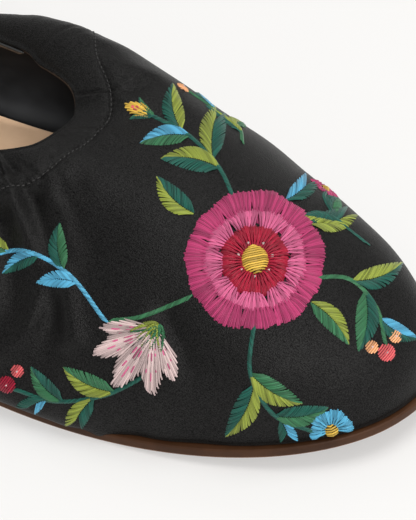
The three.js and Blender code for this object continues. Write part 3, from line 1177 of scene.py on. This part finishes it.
def make_embroidery():
    front = Sheet(CAMERA_AIM, CAMERA_BACK)
    sprig(front, [(8, 6), (3, 19), (-4, 27), (-12, 31.5)], TEAL, (
        (0.45, 9.5, 4, TEAL, LIME), (0.52, -10.5, 4.2, LIME, TEAL),
        (0.74, 8, 3.4, GREEN, SKY), (0.8, -8, 3.4, TEAL, LIME),
    ))
    bud(front, "mustard", "coral", (-12.5, 31.7), 6.2, 2.75)
    sprig(front, [(20, -4), (30, -4), (36, -10), (38, -18)], GREEN, (
        (0.42, 9, 3.6, LIME, TEAL), (0.55, -9.5, 3.8, TEAL, GREEN),
        (0.8, 7, 2.8, SKY, TEAL),
    ))
    berry(front, "coral", (38.2, -19.8), 1.9)
    berry(front, "peach", (35, -18.6), 1.4)
    berry(front, "peach", (40.2, -16.4), 1.4)
    sprig(front, [(10, -12), (9, -24), (14, -33), (23, -37)], TEAL, (
        (0.38, 9.5, 3.8, GREEN, LIME), (0.46, -9.5, 4, LIME, TEAL),
        (0.72, 8.5, 3.4, TEAL, GREEN), (0.76, -7, 2.8, SKY, TEAL),
    ))
    daisy(front, SKY, (26.5, -36.6), 5, 0.3)
    sprig(front, [(-4, -8), (-14, -12), (-21, -13)], GREEN, ())
    sprig(front, [(-12, -24), (-22, -29), (-33, -30.5), (-42, -28)], TEAL, (
        (0.3, -9, 3.6, LIME, GREEN), (0.45, 8.5, 3.4, TEAL, LIME),
        (0.66, -7.5, 3, GREEN, TEAL), (0.78, 7.5, 3, SKY, TEAL),
    ))
    berry(front, "crimson", (-43.6, -27), 1.9)
    berry(front, "coral", (-41.2, -24), 1.4)
    sprig(front, [(-22, -13), (-30, -3), (-40, 2), (-50, 0)], SKY, (
        (0.3, 6.5, 2.7, SKY, SKY), (0.42, -7.5, 3, TEAL, GREEN),
        (0.6, 6.5, 2.7, TEAL, SKY), (0.8, -6.5, 2.8, GREEN, LIME),
    ))
    leaf(front, (-3, 10), (-11, 18), 1, 5, LIME, TEAL)
    leaf(front, (22, 8), (34, 12), -1.2, 5, TEAL, LIME)
    leaf(front, (17, 13), (25, 21.5), -1, 4.4, SKY, TEAL)
    leaf(front, (22, -9), (30, -18), 1, 4.6, LIME, GREEN)
    bloom(front, (-11.5, -15), 14.5, 4.1)
    zinnia(front, (10, 0), 15.2, 0.2)

    far = Sheet((214, 20, 33))
    sprig(far, [(-9, -5), (-3, 0), (4, 1), (9, -2)], TEAL, (
        (0.3, 8, 3.2, LIME, TEAL), (0.5, -8, 3.2, TEAL, GREEN),
    ))
    daisy(far, "magenta", (10.5, -2.5), 3.8, 0.2)
    rear = Sheet((183, 27, 42))
    sprig(rear, [(-9, 4), (-3, 0), (4, 1), (10, 5)], GREEN, (
        (0.2, 8, 3.2, TEAL, LIME), (0.35, -8, 3.2, LIME, GREEN),
        (0.7, -7, 3, TEAL, SKY),
    ))
    berry(rear, "peach", (11, 6), 1.6)
    inner = Sheet((136, 38, 26))
    outer = Sheet((132, -44, 24))
    for sheet, points in (
        (inner, [(-16, 2), (-6, -3), (6, -2), (15, 4)]),
        (outer, [(15, 3), (6, -2), (-6, -2), (-15, 4)]),
    ):
        sprig(sheet, points, TEAL, (
            (0.2, 8, 3.2, LIME, TEAL), (0.35, -8, 3.2, TEAL, GREEN),
            (0.6, 7, 3, GREEN, SKY), (0.8, -7, 3, LIME, TEAL),
        ))
    berry(outer, "coral", (-16, 5), 1.7)


def make_threads():
    """One object for the threads of each colour."""
    for name, color in THREADS.items():
        *threads, tones = zip(*stitches[name])
        obj = ribbons("embroidery_" + name, zip(*threads), thread_material(name, color))
        tones = np.repeat(tones, [len(middle) * len(THREAD_SECTION) for middle in threads[0]])
        obj.data.attributes.new("tone", "FLOAT", "POINT").data.foreach_set("value", tones)


make_embroidery()
make_threads()


# Floor and soft light, places and sizes in metres

FLOOR_SIZE = 6000  # in millimetres
SPOT_BLEND = 0.7


def make_floor():
    """A pale table with a faint glow, so that the shoe's shadow stays as light as in the photograph."""
    material, *_ = new_material(
        "floor", Base_Color=(0.523, 0.52, 0.516, 1), Roughness=0.8, Specular_IOR_Level=0.1,
        Emission_Color=(1, 0.995, 0.987, 1), Emission_Strength=0.36,
    )
    half = FLOOR_SIZE / 2
    points = [(-half, -half, 0), (half, -half, 0), (half, half, 0), (-half, half, 0)]
    new_object("floor", points, [(0, 1, 2, 3)], material)


def add_light(kind, name, place, aim, power):
    data = bpy.data.lights.new(name, kind)
    data.energy = power
    light = bpy.data.objects.new(name, data)
    bpy.context.scene.collection.objects.link(light)
    light.location = place
    light.rotation_euler = (Vector(place) - Vector(aim)).to_track_quat("Z", "Y").to_euler()
    return data


def add_lamp(name, place, aim, size, power, color):
    """A soft round lamp."""
    data = add_light("AREA", name, place, aim, power)
    data.shape = "DISK"
    data.size = size
    data.color = color


def add_spot(name, place, aim, cone, power, size):
    """A narrow spot that shines past the collar. Cone in degrees."""
    data = add_light("SPOT", name, place, aim, power)
    data.spot_size = math.radians(cone)
    data.spot_blend = SPOT_BLEND
    data.shadow_soft_size = size


def make_light():
    world = bpy.data.worlds.new("world")
    bpy.context.scene.world = world
    world.use_nodes = True
    set_inputs(world.node_tree.nodes["Background"], Color=(1.0, 0.995, 0.985, 1), Strength=0.55)
    add_lamp("key", (0.2, 0.22, 1.2), (0.07, 0, 0.02), 0.8, 6, (1.0, 0.99, 0.97))
    add_lamp("side", (1.0, -0.45, 0.7), (0.06, -0.02, 0.02), 0.35, 7.5, (1.0, 0.98, 0.96))
    add_lamp("back", (-1.0, 0.28, 0.86), (0, 0, 0.04), 0.16, 0.6, (1.0, 0.99, 0.98))
    add_spot("into_the_shoe", (-0.01, -0.357, 0.486), (-0.004, 0.018, 0.006), 4.4, 13.5, 0.015)
    add_spot("onto_the_lining", (0.02, -0.36, 0.262), (-0.008, 0.034, 0.013), 3.4, 18, 0.01)
    bpy.context.scene.view_settings.view_transform = "Standard"
    bpy.context.scene.view_settings.look = "None"


make_floor()
make_light()
